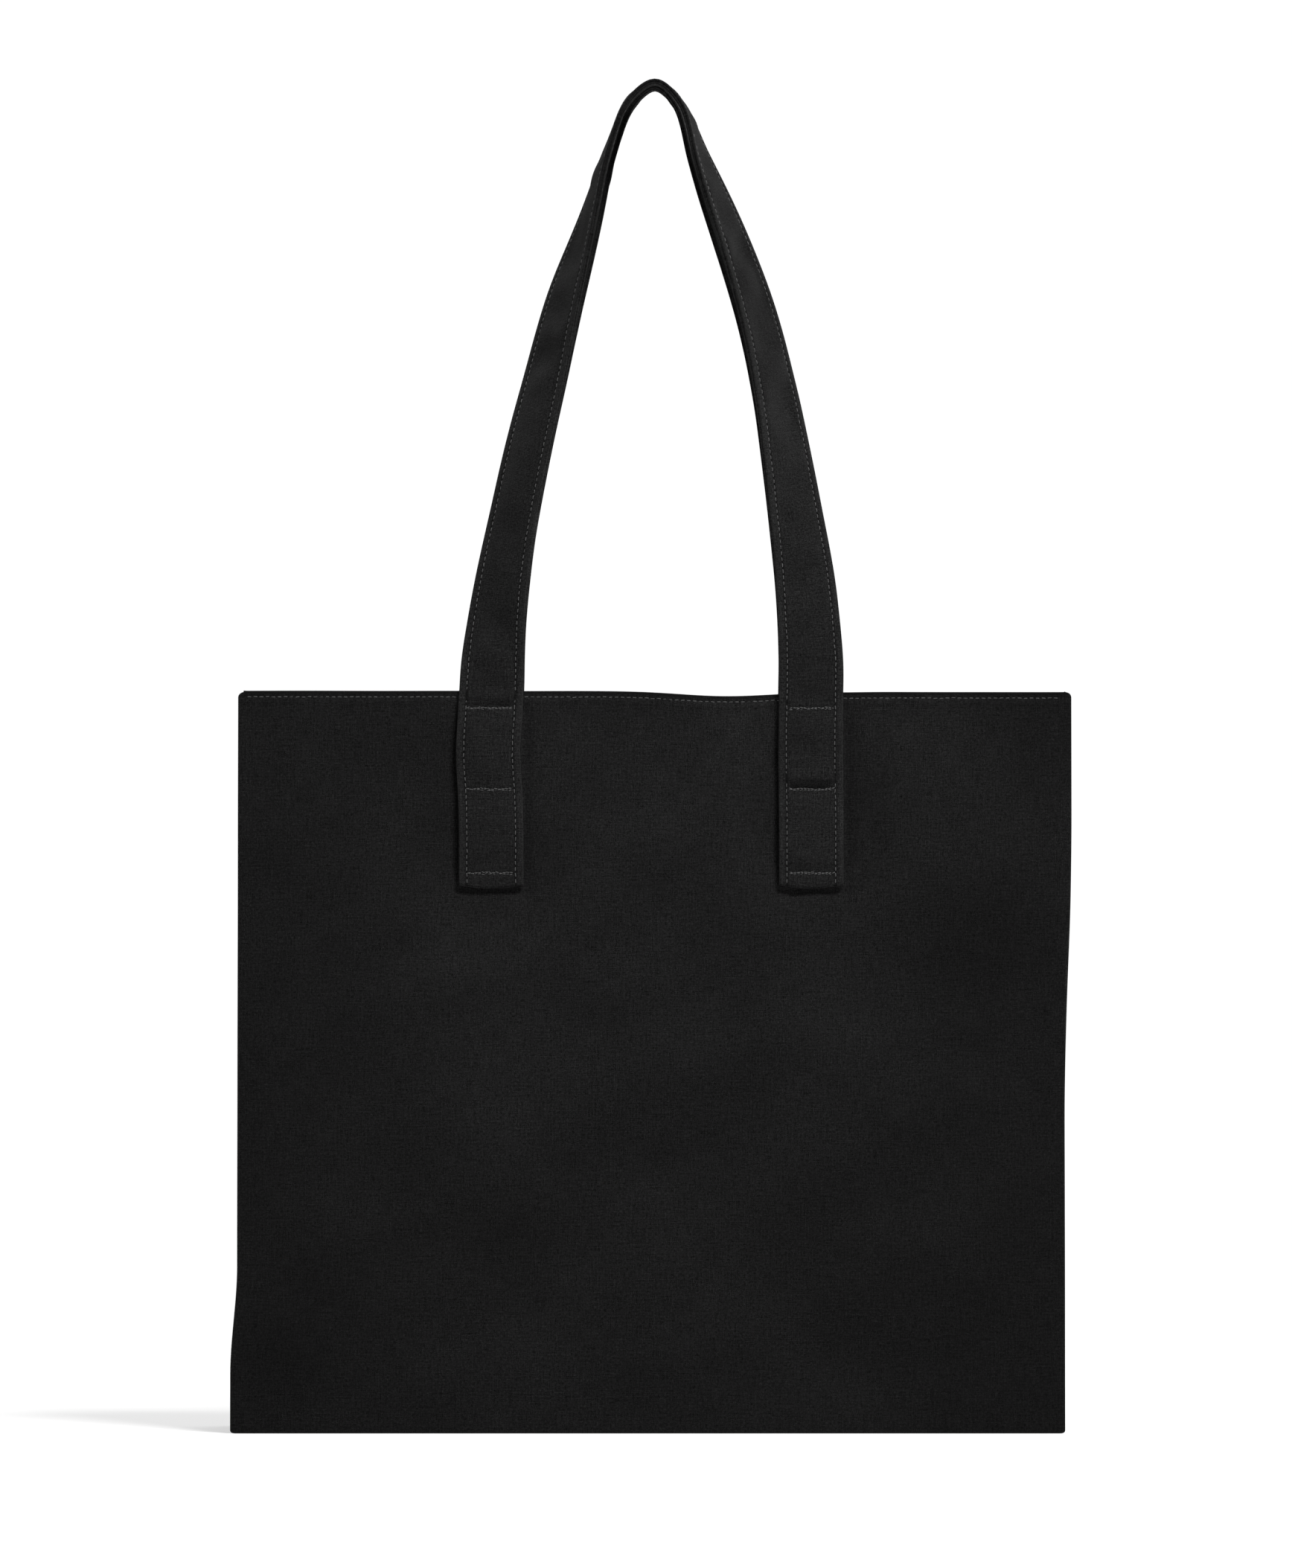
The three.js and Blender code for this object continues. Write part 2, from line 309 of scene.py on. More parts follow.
class Nodes:
    """Short calls for building a node tree."""

    def __init__(self, owner):
        self.tree = owner.node_tree

    def add(self, kind, **settings):
        node = self.tree.nodes.new(kind)
        for name, value in settings.items():
            setattr(node, name, value)
        return node

    def link(self, source, target):
        self.tree.links.new(source, target)

    def feed(self, node, values):
        """Gives the node's first inputs their values, each a number or another node's output."""
        for socket, value in zip(node.inputs, values):
            if isinstance(value, (int, float)):
                socket.default_value = value
            else:
                self.link(value, socket)
        return node.outputs[0]

    def math(self, operation, *values):
        return self.feed(self.add("ShaderNodeMath", operation=operation), values)

    def times(self, product, *factors):
        for factor in factors:
            product = self.math("MULTIPLY", product, factor)
        return product

    def vector(self, x, y, z=0.0):
        return self.feed(self.add("ShaderNodeCombineXYZ"), (x, y, z))

    def noise(self, vector, scale, detail):
        node = self.add("ShaderNodeTexNoise")
        set_inputs(node, {"Scale": scale, "Detail": detail})
        self.link(vector, node.inputs["Vector"])
        return node.outputs["Fac"]

    def remap(self, value, low, high, new_low, new_high):
        node = self.add("ShaderNodeMapRange")
        set_inputs(node, {"From Min": low, "From Max": high, "To Min": new_low, "To Max": new_high})
        self.link(value, node.inputs["Value"])
        return node.outputs["Result"]

    def uneven(self, vector, scale, detail, tones):
        """Noise moved to run between two tones."""
        return self.remap(self.noise(vector, scale, detail), *NOISE_RANGE, *tones)

    def mix(self, share, a, b):
        """a where share is 0, b where it is 1."""
        rest = self.math("SUBTRACT", 1.0, share)
        return self.math("ADD", self.times(a, rest), self.times(b, share))

    def distance(self, value, middle):
        return self.math("ABSOLUTE", self.math("SUBTRACT", value, middle))

    def cloth_place(self):
        split = self.add("ShaderNodeSeparateXYZ")
        self.link(self.add("ShaderNodeUVMap", uv_map="cloth").outputs["UV"], split.inputs[0])
        return split.outputs["X"], split.outputs["Y"]

    def grey_and_bump(self, shader, level, height, strength, distance):
        colour = self.add("ShaderNodeCombineColor")
        for channel in colour.inputs:
            self.link(level, channel)
        self.link(colour.outputs[0], shader.inputs["Base Color"])
        bump = self.add("ShaderNodeBump")
        set_inputs(bump, {"Strength": strength, "Distance": distance})
        self.link(height, bump.inputs["Height"])
        self.link(bump.outputs["Normal"], shader.inputs["Normal"])


def plain_weave(n, across, along):
    """The height of duck, whose every thread rises over one crossing and dips under the next, and the
    tone of its uneven yarn."""
    wobble = n.remap(n.noise(n.vector(across, along), WOBBLE_SCALE, 2), 0, 1, -0.5, 0.5)
    warp = n.math("ADD", n.math("DIVIDE", across, WEAVE_PITCH), n.times(wobble, WARP_WOBBLE))
    weft = n.math("ADD", n.math("DIVIDE", along, WEAVE_PITCH), n.times(wobble, WEFT_WOBBLE))
    warp_wave, weft_wave = (n.math("SINE", n.times(threads, math.pi)) for threads in (warp, weft))
    warp_on_top = n.math("GREATER_THAN", n.times(warp_wave, weft_wave), 0.0)
    warp_round, weft_round = (n.math("ABSOLUTE", wave) for wave in (warp_wave, weft_wave))
    warp_height = n.times(warp_round, n.remap(weft_round, 0, 1, CROSSING_DIP, 1))
    weft_height = n.times(weft_round, n.remap(warp_round, 0, 1, CROSSING_DIP, 1))
    height = n.mix(warp_on_top, weft_height, warp_height)

    yarn = 0.0
    for slub, share in SLUBS:
        warp_place = n.vector(n.times(warp, YARN_CHANGE), n.times(weft, slub))
        weft_place = n.vector(n.times(warp, slub), n.times(weft, YARN_CHANGE), WEFT_SEED)
        both = n.mix(warp_on_top, n.noise(weft_place, 1.0, 1), n.noise(warp_place, 1.0, 1))
        yarn = n.math("ADD", yarn, n.times(both, share))
    return height, n.remap(yarn, *YARN_RANGE, *YARN_TONES)


def strap_painted_shading(n, tone, across, along):
    """Painted light and shade on a strap: a painted highlight on its folded edges, and painted shade along
    its stitching and over the top of its arch.
    """
    from_middle = n.math("ABSOLUTE", across)
    # Painted highlight on the strap's raised folded edges.
    fold = n.remap(from_middle, ROW_OFFSET + 0.6 * MM, ROW_OFFSET + 2.2 * MM, 1.0, 1.0 + FOLD_PAINTED_HIGHLIGHT)
    # Painted shade along the stitch grooves.
    stitching = n.remap(n.distance(from_middle, ROW_OFFSET), 0.2 * MM, 0.9 * MM, STITCH_LINE_PAINTED_SHADE, 1.0)
    # Painted shade over the top of the arch.
    apex = HANDLES["front"].total / 2
    apex_painted_shade = n.remap(n.distance(along, apex), 50 * MM, 170 * MM, APEX_PAINTED_SHADE, 1.0)
    return n.times(tone, fold, stitching, apex_painted_shade)


def wall_painted_shading(n, tone, across, along):
    """Painted light and shade on a wall: painted shade towards its sides and low down, painted light towards
    its top, and painted shade on its rolled top edge.
    """
    # Painted shade towards the wall's sides.
    middle = n.remap(n.math("ABSOLUTE", across), 70 * MM, 190 * MM, 1.0, 1.0 - PAINTED_SIDE_SHADE_AND_TOP_LIGHT)
    # Painted shade low down and painted light towards the top.
    high = n.remap(along, 20 * MM, 330 * MM, 1.0 - PAINTED_SIDE_SHADE_AND_TOP_LIGHT * 0.3, 1.0 + PAINTED_SIDE_SHADE_AND_TOP_LIGHT * 0.9)
    # Painted shade on the rolled top edge.
    rolled = n.remap(along, WALL_LENGTH - 2.0 * MM, WALL_LENGTH - 0.9 * MM, 1.0, ROLLED_EDGE_PAINTED_SHADE)
    return n.times(tone, n.times(middle, high), rolled)


def canvas_material(name, shade, painted_shading):
    """Woven canvas with painted shade and highlight on its weave, soft patches of tone and stray lint. shade
    is the cloth's reflectance, and the last argument is the function that paints light and shade into its
    tone from place to place."""
    material, shader = new_material(name)
    n = Nodes(material)
    across, along = n.cloth_place()
    place = n.vector(across, along)
    height, yarn = plain_weave(n, across, along)
    patches = n.uneven(place, PATCH_SCALE, 4, PATCH_TONES)
    patches = n.times(patches, n.uneven(place, MOTTLE_SCALE, 2, MOTTLE_TONES))
    lint_place = n.vector(n.times(across, LINT_STRETCH), along)
    lint = n.remap(n.noise(lint_place, LINT_SCALE, 1), *LINT_RANGE, 0, LINT_TONE)
    # The weave's dips are painted darker and its raised threads lighter: painted shade and highlight.
    tone = n.math("ADD", n.times(n.remap(height, 0, 1, *WEAVE_PAINTED_SHADING), yarn, patches), lint)
    level = n.times(painted_shading(n, tone, across, along), shade)
    relief = n.math("ADD", height, n.times(yarn, YARN_BUMP))
    n.grey_and_bump(shader, level, relief, strength=0.75, distance=0.16 * MM)
    n.link(n.remap(yarn, *YARN_TONES, *CANVAS_ROUGHNESS), shader.inputs["Roughness"])
    set_inputs(shader, {"Specular IOR Level": 0.05, "Sheen Weight": 0.03, "Sheen Roughness": 0.45})
    return material


def thread_material():
    """Spun sewing thread: two plies that wind round each other, with painted shade in the grooves between
    them, fuzzy, unevenly worn and softly shiny.
    """
    material, shader = new_material("sewing_thread")
    n = Nodes(material)
    around, along = n.cloth_place()
    turns = n.math("ADD", n.math("DIVIDE", along, PLY_LENGTH), n.math("DIVIDE", around, PLY_AROUND))
    ply = n.math("ABSOLUTE", n.math("SINE", n.times(turns, math.pi)))
    fuzz = n.noise(n.vector(around, along), FUZZ_SCALE, 2)
    # The grooves between the plies are painted darker: painted shade.
    level = n.times(n.remap(ply, 0, 1, *THREAD_PAINTED_PLY_SHADES), n.remap(fuzz, *NOISE_RANGE, *FUZZ_TONES))
    level = n.times(level, n.uneven(n.vector(0.0, along), WORN_SCALE, 1, WORN_TONES))
    n.grey_and_bump(shader, level, ply, strength=0.8, distance=0.08 * MM)
    n.link(n.remap(fuzz, 0, 1, *THREAD_ROUGHNESS), shader.inputs["Roughness"])
    set_inputs(shader, {"Sheen Weight": 0.1})
    return material


# ---------------------------------------------------------------- meshes

STITCH_RINGS, STITCH_CORNERS = 7, 6
STITCH_END_DIP = 0.34 * MM
STITCH_END_TAPER = 0.3
MOST_STRAY_OUT = 0.1 * MM


def make_piece(name, points, faces, uv, material):
    """A smooth-shaded mesh object; uv is one pair for each point."""
    mesh = bpy.data.meshes.new(name)
    mesh.from_pydata(points.tolist(), [], faces)
    layer = mesh.uv_layers.new(name="cloth")
    corners = np.zeros(len(mesh.loops), int)
    mesh.loops.foreach_get("vertex_index", corners)
    layer.data.foreach_set("uv", uv[corners].astype(np.float32).ravel())
    mesh.polygons.foreach_set("use_smooth", [True] * len(mesh.polygons))
    mesh.materials.append(material)
    mesh.validate()
    piece = bpy.data.objects.new(name, mesh)
    bpy.context.collection.objects.link(piece)
    return piece


def finish_piece(piece, body, slot, *nodes):
    """Hides the frame's parts that the piece replaces and attaches it to its body; slot is not used. One that
    crosses a joint has no body here.
    """
    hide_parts(*nodes)
    if body:
        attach(piece, body)


def grid_faces(rows, columns, start, flip):
    index = start + np.arange(rows * columns).reshape(rows, columns)
    quads = np.stack([index[:-1, :-1], index[:-1, 1:], index[1:, 1:], index[1:, :-1]], -1).reshape(-1, 4)
    return (quads[:, ::-1] if flip else quads).tolist()


def tube_faces(index):
    """The faces between the rings of a tube; each row of index is one ring's points."""
    after = np.roll(index, -1, axis=1)
    return np.stack([index[:-1], after[:-1], after[1:], index[1:]], -1).reshape(-1, 4).tolist()


def grid_normals(surface):
    return np.cross(np.gradient(surface, axis=1), np.gradient(surface, axis=0))


def outward_normals(surface, outward):
    """Unit normals of a grid of points, turned as a whole to the side of the vector outward."""
    normals = unit(grid_normals(surface))
    return normals if float((normals * outward).sum()) > 0 else -normals


def cloth_piece(name, surface, normals, thickness, uv, material):
    """A closed sheet with real thickness from the grid of its outer face and the normals there."""
    rows, columns = surface.shape[:2]
    flip = float((grid_normals(surface) * normals).sum()) < 0
    inner = surface - normals * thickness[..., None]
    points = np.concatenate([surface.reshape(-1, 3), inner.reshape(-1, 3)])
    size = rows * columns
    faces = grid_faces(rows, columns, 0, not flip) + grid_faces(rows, columns, size, flip)
    index = np.arange(size).reshape(rows, columns)
    border = np.concatenate([index[0, :-1], index[:-1, -1], index[-1, :0:-1], index[:0:-1, 0]])
    after = np.roll(border, -1)
    rim = np.stack([border, after, after + size, border + size], -1)
    faces += (rim if not flip else rim[:, ::-1]).tolist()
    both = np.concatenate([uv.reshape(-1, 2), uv.reshape(-1, 2)])
    return make_piece(name, points, faces, both, material)


def stitch_places(lines, pitch, length):
    """The middle of every stitch on the lines, its direction and the direction out of the cloth there."""
    places = []
    for points, faces in lines:
        run = run_length(points)
        middles = np.arange(pitch / 2, run[-1] - pitch / 4, pitch)
        shifts = (-length / 2, 0, length / 2)
        before, here, after = (between(middles + shift, run, points) for shift in shifts)
        direction = unit(after - before)
        places.append((here, direction, square_to(between(middles, run, faces), direction)))
    return (np.vstack(part) for part in zip(*places))


def stitch_row(name, lines, pitch=STITCH_PITCH, length=STITCH_LENGTH, lift=STITCH_LIFT, uneven=STITCH_STRAY):
    """Rows of separate stitches, each of which dips into the cloth at both ends. Each line is the points
    that its row follows and the direction out of the cloth at each. lift is how far the stitches' middles
    stand above the line, and uneven is how far the stitches stray."""
    centres, along, face = stitch_places(lines, pitch, length)
    side = np.cross(along, face)
    stray = np.random.default_rng(len(name)).normal(0, 1, (3, len(centres), 1)) * uneven
    centres = centres + side * stray[0] + face * np.minimum(stray[1], MOST_STRAY_OUT)
    along = unit(along + side * stray[2] * 2 / length)

    tau = np.linspace(-1, 1, STITCH_RINGS)
    angle = np.arange(STITCH_CORNERS) * 2 * math.pi / STITCH_CORNERS
    rise = lift * (1 - tau**4) - STITCH_END_DIP * tau**6
    radius = THREAD_RADIUS * (1 - STITCH_END_TAPER * tau**6)
    line = (centres[:, None] + along[:, None] * (tau * length / 2)[None, :, None]
            + face[:, None] * rise[None, :, None])
    ring = (face[:, None, None] * np.cos(angle)[None, None, :, None]
            + side[:, None, None] * np.sin(angle)[None, None, :, None])
    points = line[:, :, None] + ring * radius[None, :, None, None]

    size = STITCH_RINGS * STITCH_CORNERS
    index = np.arange(size).reshape(STITCH_RINGS, STITCH_CORNERS)
    one = tube_faces(index) + [index[0, ::-1].tolist(), index[-1].tolist()]
    faces = [[v + k * size for v in f] for k in range(len(centres)) for f in one]
    starts = np.arange(len(centres))[:, None, None] * STITCH_PITCH
    uv = joined((angle * THREAD_RADIUS)[None, None, :], (tau * length / 2)[None, :, None] + starts)
    return make_piece(name, points.reshape(-1, 3), faces, uv.reshape(-1, 2), THREAD)


# ---------------------------------------------------------------- the shape of the body

FOOT_CORNER, TOP_CORNER = 1.6 * MM, 2.6 * MM
LEFT_INSET, RIGHT_INSET = 1 * MM, 1.2 * MM
HEM_DIP_REACH = 70 * MM
SLANT = 0.35

# Distances from a tail's edge, and below the top edge, where the wall needs close rows of points.
BESIDE_TAIL = np.array([-1.4, -0.7, 0, 0.7, 1.4, 2.1, 3.0, 4.1, 5.3]) * MM
BELOW_TOP = np.array([0, 0.08, 0.25, 0.55, 0.95, 1.4, 1.9, 2.4, 2.75, 3.0, 3.25, 3.6, 4.1, 4.7, 5.3, 5.9,
                      6.4, 6.75, 7.2, 8, 9.2, 11, 13.5, 16.5]) * MM
BELOW_GUSSET_TOP = np.array([0, 0.1, 0.35, 0.75, 1.2, 1.8, 2.4, 3.0, 3.6, 4.4, 5.2, 6,
                             6.5, 7, 8, 10, 13]) * MM


def corner_cut(z):
    """How much the round corners of the silhouette take off its half width."""
    foot = FOOT_CORNER * (1 - rounded(z, FOOT_CORNER))
    return foot + TOP_CORNER * (1 - rounded(PANEL_HIGH.z - z, TOP_CORNER))


def left_edge(z):
    """The outline's half width on the left, which widens at the foot."""
    foot_flare = 3.2 * MM * (1 - smoothstep(28 * MM, 80 * MM, z))
    return HALF_WIDTH - LEFT_INSET + foot_flare - corner_cut(z)


def right_edge(z):
    """The outline's half width on the right, which widens upwards in two soft steps."""
    rise = 2.3 * MM * smoothstep(150 * MM, 260 * MM, z) + 1.3 * MM * smoothstep(200 * MM, 300 * MM, z)
    return HALF_WIDTH - RIGHT_INSET + rise - corner_cut(z)


def side_place(x, z):
    """x on the plain rectangle moved to the bag's real outline at height z."""
    return np.where(x < 0, x * left_edge(z) / HALF_WIDTH, x * right_edge(z) / HALF_WIDTH)


def top_dip(x, up):
    """How far a point near the top edge hangs below its place on a straight edge."""
    hollow = 2.0 * MM * bell(x - 36 * MM, 30 * MM)
    left_rise = 0.7 * MM * (1 - smoothstep(-60 * MM, 90 * MM, x))
    uneven = 0.4 * MM * noise_field(joined(x, 0.0), 70 * MM, TOP_EDGE_SEED)
    return (hollow - left_rise + uneven) * smoothstep(WALL_LENGTH - HEM_DIP_REACH, WALL_LENGTH, up)


def tail_gap(x, up):
    """How far a point of a wall is from the nearest sewn tail of a handle."""
    from_side = np.abs(np.abs(x) - TAIL_X) - STRAP_WIDTH / 2
    from_foot = TAIL_END - up
    outside = np.hypot(np.maximum(from_side, 0), np.maximum(from_foot, 0))
    return outside + np.minimum(np.maximum(from_side, from_foot), 0)


def wall_sag(depth, x, up):
    """How far the soft wall stands out from its plane: a low belly, broad soft waves, small creases and
    the cloth drawn in along the edges of the sewn tails."""
    seed = WALL_SEEDS[depth]
    share = np.clip(up / WALL_LENGTH, 0, 1)
    belly = 4.2 * MM * np.sin(math.pi * share**0.72) * np.clip(1 - (x / HALF_WIDTH) ** 2, 0, 1) ** 0.7
    slant = joined(x + SLANT * up, up - SLANT * x)
    waves = 12 * MM * noise_field(slant * [0.8, 1.1], 100 * MM, seed)
    waves += 4.4 * MM * noise_field(slant * [0.7, 1.2], 42 * MM, seed + 5)
    creases = 0.7 * MM * noise_field(joined(x, up) * [0.5, 1.0], 16 * MM, seed + 9)
    gap = tail_gap(x, up)
    free = smoothstep(0, 26 * MM, gap)
    edge = at_least(0.3, smoothstep(0, 45 * MM, HALF_WIDTH - np.abs(x)))
    top = at_least(0.3, smoothstep(0, 60 * MM, WALL_LENGTH - up))
    foot = smoothstep(2 * MM, 45 * MM, up)
    sewn_edge = -1.0 * MM * bell(gap - 0.6 * MM, 2.4 * MM)
    ridge_beside_it = 0.55 * MM * bell(gap - 8 * MM, 4 * MM)
    drawn_in = (sewn_edge + ridge_beside_it) * smoothstep(2 * MM, 12 * MM, WALL_LENGTH - up)
    folds = (waves + creases) * edge * top * at_least(0.04, free)
    return foot * (belly * at_least(0.15, free) + folds) + drawn_in


def wall_place(depth, x, up, out):
    """The point that lies x across, up along and out from the outer face of a leaning wall."""
    y = -HALF_DEPTH + up * math.sin(LEAN) - out * math.cos(LEAN)
    z = FOOT_Z + up * math.cos(LEAN) + out * math.sin(LEAN)
    return joined(side_place(x, z), -depth * y, z)


def wall_out(depth):
    return np.array([0, depth * math.cos(LEAN), math.sin(LEAN)])


def hem_profile(below):
    """The outward step and the thickness of the rolled hem at a distance below the top edge."""
    round_top = rounded(below, HEM_THICKNESS / 2)
    in_hem = 1 - smoothstep(HEM_DEPTH, HEM_DEPTH + 0.5 * MM, below)
    thickness = CLOTH + (HEM_THICKNESS - CLOTH) * in_hem
    upper_roll = 0.42 * MM * bell(below - 1.4 * MM, 1.1 * MM)
    lower_roll = 0.38 * MM * bell(below - 5.2 * MM, 1.6 * MM)
    groove = 0.22 * MM * bell(below - HEM_STITCH_BELOW, 0.7 * MM)
    out = upper_roll + lower_roll - groove - HEM_THICKNESS / 2 * (1 - round_top)
    return out, thickness * np.maximum(round_top, 0.06)


def turned_edge(run, start, radius, turn):
    """Cloth that runs straight and then turns in over an edge: distance along to (out to the edge, in)."""
    angle = np.clip((run - start) / radius, 0, turn)
    beyond = np.maximum(run - start - radius * turn, 0)
    reach = np.minimum(run, start) + radius * np.sin(angle) + beyond * math.cos(turn)
    depth = radius * (1 - np.cos(angle)) + beyond * math.sin(turn)
    return reach, depth


def steps(low, high, size):
    return np.linspace(low, high, max(2, round((high - low) / size) + 1))


def merged(*runs):
    """All the values of the runs in order, without any that lies closer than LEAST_STEP to the one before."""
    kept = []
    for value in np.sort(np.concatenate(runs)):
        if not kept or value - kept[-1] > LEAST_STEP:
            kept.append(value)
    return np.array(kept)


def edge_runs(half, radius, turn, spacing):
    """Distances across a panel from one allowance's end to the other's, close together at the turns."""
    flat = half - radius
    end = flat + radius * turn
    side = np.concatenate([steps(flat, end, 0.5 * MM)[1:], steps(end, end + ALLOWANCE, 1.8 * MM)[1:]])
    return np.concatenate([-side[::-1], steps(-flat, flat, spacing), side])


# ---------------------------------------------------------------- the pieces of the body

def wall_runs():
    """Distances across and up a wall's cloth, close together at the turns, the hem and the tails."""
    beside_tails = [hand * (TAIL_X + sign * (STRAP_WIDTH / 2 + gap))
                    for hand in (-1, 1) for sign in (-1, 1) for gap in BESIDE_TAIL]
    across = merged(edge_runs(HALF_WIDTH, SEAM_RADIUS, SEAM_TURN, 2.4 * MM), beside_tails)
    foot = steps(EDGE_RADIUS * (1 - FOOT_TURN), EDGE_RADIUS, 0.55 * MM)[:-1]
    middle = merged(steps(EDGE_RADIUS, WALL_LENGTH - 19 * MM, 3 * MM), TAIL_END - BESIDE_TAIL[:-1])
    return across, np.concatenate([foot, middle, WALL_LENGTH - BELOW_TOP[::-1]])


def make_wall_cloth(side):
    depth = WALLS[side]
    run_x, run_up = np.meshgrid(*wall_runs())
    x, turned_in = turned_edge(np.abs(run_x), HALF_WIDTH - SEAM_RADIUS, SEAM_RADIUS, SEAM_TURN)
    x = x * np.sign(run_x)
    drop, turned_under = turned_edge(WALL_LENGTH - run_up, WALL_LENGTH - EDGE_RADIUS, EDGE_RADIUS, FOOT_TURN)
    in_face = turned_in < TINY
    hem_out, thickness = hem_profile(drop)
    thickness = np.where(in_face, thickness, np.minimum(thickness, CLOTH))
    up = WALL_LENGTH - drop
    # At the foot the turned sides are lifted, clear of the floor.
    up = up + 0.5 * turned_in * (1 - smoothstep(5 * MM, 30 * MM, up))
    out = wall_sag(depth, x, up) + hem_out * in_face - turned_in - turned_under
    surface = wall_place(depth, x, up - top_dip(x, up), out)
    normals = outward_normals(surface, wall_out(depth))
    wall = cloth_piece(f"{side}_wall_cloth", surface, normals, thickness, joined(run_x, run_up), BODY_CANVAS)
    finish_piece(wall, f"{side}_wall", "body_canvas", f"{side}_panel")


def make_wall_hem(side):
    """The hem's stitches, on the wall's outer and inner face."""
    depth = WALLS[side]
    x = np.linspace(-HALF_WIDTH + 4 * MM, HALF_WIDTH - 4 * MM, 200)
    up = np.full_like(x, WALL_LENGTH - HEM_STITCH_BELOW)
    sag = wall_sag(depth, x, up) + hem_profile(WALL_LENGTH - up)[0]
    outer, inner = (wall_place(depth, x, up - top_dip(x, up), sag + lift)
                    for lift in (0.0, -HEM_THICKNESS + 0.2 * MM))
    face = np.broadcast_to(wall_out(depth), outer.shape)
    row = stitch_row(f"{side}_hem_stitches", [(outer, face), (inner, -face)], lift=0.02 * MM)
    finish_piece(row, f"{side}_wall", "thread", f"{side}_hem_stitching")


def make_side_seam(side, hand):
    """The seam's stitches, inside the bag on the wall's turned allowance."""
    depth = WALLS[side]
    up = np.linspace(8 * MM, WALL_LENGTH - 12 * MM, 150)
    run = HALF_WIDTH - SEAM_RADIUS + SEAM_RADIUS * SEAM_TURN + 3 * MM
    reach, inwards = turned_edge(run, HALF_WIDTH - SEAM_RADIUS, SEAM_RADIUS, SEAM_TURN)
    x = np.full_like(up, SIDES[hand] * reach)
    points = wall_place(depth, x, up, wall_sag(depth, x, up) - inwards)
    face = -np.broadcast_to(wall_out(depth), points.shape)
    row = stitch_row(f"{side}_{hand}_seam_stitches", [(points, face)])
    finish_piece(row, f"{side}_wall", "thread", f"{side}_{hand}_seam_stitching")


GUSSET_TOP = PANEL_HIGH.z - 0.6 * MM
GUSSET_COLUMNS = 61
JOIN_INSET = 2.1 * MM


def half_depth(z):
    """Half the depth from the middle to where the gusset joins the walls."""
    return HALF_DEPTH - (z - FOOT_Z) * math.tan(LEAN) - JOIN_INSET


def gusset_surface(direction, across, z):
    """The folded side: across runs from -1 at the front seam to 1 at the back seam. Its crease deepens
    and sharpens towards the top."""
    share = z / PANEL_HIGH.z
    sharp = 0.09 + 0.5 * (1 - smoothstep(0, 0.7, share))
    fold = (np.sqrt(1 + sharp**2) - np.sqrt(across**2 + sharp**2)) / (np.sqrt(1 + sharp**2) - sharp)
    crease = 3 * MM + 28 * MM * share * at_least(0.45, smoothstep(0.02, 0.7, share))
    from_seam = (1 - np.abs(across)) * half_depth(z)
    place = joined(across * half_depth(z), z)
    waves = 1.7 * MM * noise_field(place * [1.0, 0.6], 48 * MM, GUSSET_SEED + direction)
    waves += 0.45 * MM * noise_field(place * [1.0, 0.5], 15 * MM, GUSSET_SEED + 7 + direction)
    half = left_edge(z) if direction < 0 else right_edge(z)
    x = half - 0.5 * MM - crease * fold + waves * smoothstep(0, 14 * MM, from_seam)
    return joined(direction * x, across * half_depth(z), z)


def make_gusset_cloth(side):
    """The gusset in two halves that meet at its crease."""
    direction = SIDES[side]
    bend = np.linspace(-1, 1, GUSSET_COLUMNS)
    across = np.sign(bend) * (1 - (1 - np.abs(bend)) ** 1.2)
    even = steps(1.2 * MM, GUSSET_TOP - 16 * MM, 4 * MM)
    across, z = np.meshgrid(across, np.concatenate([even, GUSSET_TOP - BELOW_GUSSET_TOP[::-1]]))
    surface = gusset_surface(direction, across, z)
    hem_out, thickness = hem_profile(GUSSET_TOP - z)
    surface[..., 0] += direction * hem_out
    normals = outward_normals(surface, np.array([direction, 0, 0]))
    uv = joined(across * HALF_DEPTH, z)
    crease = GUSSET_COLUMNS // 2
    for wall, part in {"front": slice(0, crease + 1), "back": slice(crease, None)}.items():
        piece = cloth_piece(f"{side}_gusset_{wall}_half", surface[:, part], normals[:, part],
                            thickness[:, part], uv[:, part], BODY_CANVAS)
        finish_piece(piece, None, "body_canvas", f"{side}_gusset")
        blend_to_wall(piece)


def make_gusset_hem(side, wall):
    """The hem's stitches on one half of a gusset, on its outer and inner face."""
    direction = SIDES[side]
    across = np.linspace(0.02, 0.98, 60) * WALLS[wall]
    height = np.full_like(across, GUSSET_TOP - HEM_STITCH_BELOW)
    line = gusset_surface(direction, across, height)
    strip = np.stack([gusset_surface(direction, across, height - 1 * MM), line])
    face = outward_normals(strip, np.array([direction, 0, 0]))[1]
    line = line - face * 0.2 * MM
    row = stitch_row(f"{side}_gusset_{wall}_hem_stitches", [(line, face), (line - face * 1.7 * MM, -face)])
    finish_piece(row, None, "thread", f"{side}_gusset_hem_stitching")
    blend_to_wall(row)


def blend_to_wall(piece):
    """Bakes the piece's transform into its points."""
    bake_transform(piece)


BASE_RADIUS, BASE_TURN = 1.3 * MM, math.radians(88)
BASE_HALF_X, BASE_HALF_Y = BASE_HIGH.x - 0.4 * MM, BASE_HIGH.y - 1 * MM
BASE_SEAM_Z = 1.15 * MM
SEAM_INSET, SEAM_SHORT = 3.2 * MM, 5 * MM


